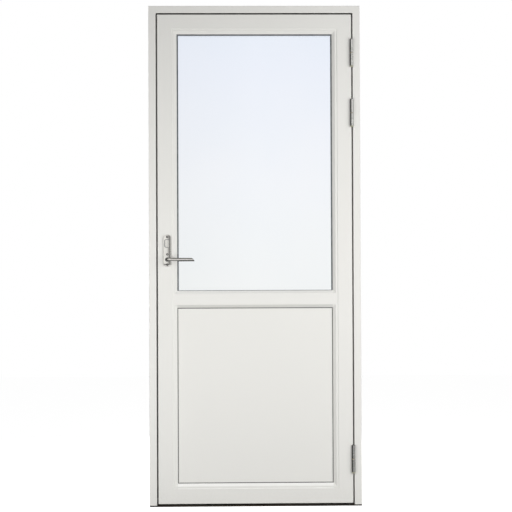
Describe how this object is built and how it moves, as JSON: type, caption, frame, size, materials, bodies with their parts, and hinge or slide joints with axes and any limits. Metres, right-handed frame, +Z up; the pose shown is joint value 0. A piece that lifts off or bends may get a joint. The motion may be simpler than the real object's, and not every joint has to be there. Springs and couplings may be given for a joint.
{
  "type": "balcony door",
  "caption": "Outward-opening timber balcony door with a glazed upper light, a flat lower panel, lift-off hinges and a lever handle, hung in its frame.",
  "frame": {"origin": "middle of the threshold's flat underside, on which the frame stands", "axes": "+X to the hinge side seen from outside, +Y from outside into the building, +Z up"},
  "size_m": [0.88, 0.1674, 2.08],
  "materials": {
    "frame_paint": "satin white paint on timber",
    "leaf_paint": "satin white paint on timber",
    "panel_paint": "satin white paint on board",
    "threshold_timber": "dark oiled hardwood",
    "clear_glass": "clear float glass",
    "spacer_metal": "matt mill finish",
    "seal_rubber": "matt dark grey",
    "panel_sealant": "matt mid grey",
    "hinge_steel": "satin zinc plated",
    "handle_metal": "polished nickel",
    "lock_steel": "satin zinc plated",
    "washer_brass": "plain"
  },
  "bodies": {
    "frame": {"jamb_latch": "frame_paint", "jamb_hinge": "frame_paint", "head": "frame_paint", "threshold": "threshold_timber", "frame_seal": "seal_rubber", "strike_plates": "lock_steel", "hinge_bottom_frame": "hinge_steel", "hinge_bottom_washer": "washer_brass", "hinge_middle_frame": "hinge_steel", "hinge_middle_washer": "washer_brass", "hinge_top_frame": "hinge_steel", "hinge_top_washer": "washer_brass"},
    "leaf": {"stile_latch": "leaf_paint", "stile_hinge": "leaf_paint", "rail_top": "leaf_paint", "rail_middle": "leaf_paint", "rail_bottom": "leaf_paint", "lower_panel": "panel_paint", "glass_outer": "clear_glass", "glass_inner": "clear_glass", "glass_spacer": "spacer_metal", "glass_seals": "seal_rubber", "panel_seals": "panel_sealant", "lock_faceplate": "lock_steel", "lock_bolts": "lock_steel", "handle_plate_outside": "handle_metal", "handle_plate_inside": "handle_metal", "cylinder_cover_outside": "handle_metal", "cylinder_cover_inside": "handle_metal", "bead_glass_left": "leaf_paint", "bead_glass_right": "leaf_paint", "bead_glass_top": "leaf_paint", "bead_glass_bottom": "leaf_paint", "bead_panel_left": "leaf_paint", "bead_panel_right": "leaf_paint", "bead_panel_top": "leaf_paint", "bead_panel_bottom": "leaf_paint", "hinge_bottom_leaf": "hinge_steel", "hinge_middle_leaf": "hinge_steel", "hinge_top_leaf": "hinge_steel"},
    "handle": {"lever_outside": "handle_metal", "lever_inside": "handle_metal", "spindle": "lock_steel"}
  },
  "joints": [
    {"name": "leaf_swing", "type": "hinge", "parent": "frame", "child": "leaf", "pos_m": [0.405, -0.065, 0], "axis": [0, 0, 1], "range_deg": [0, 170]},
    {"name": "handle_turn", "type": "hinge", "parent": "leaf", "child": "handle", "pos_m": [-0.3645, -0.0575, 1.0245], "axis": [0, 1, 0], "range_deg": [0, 90]}
  ]
}
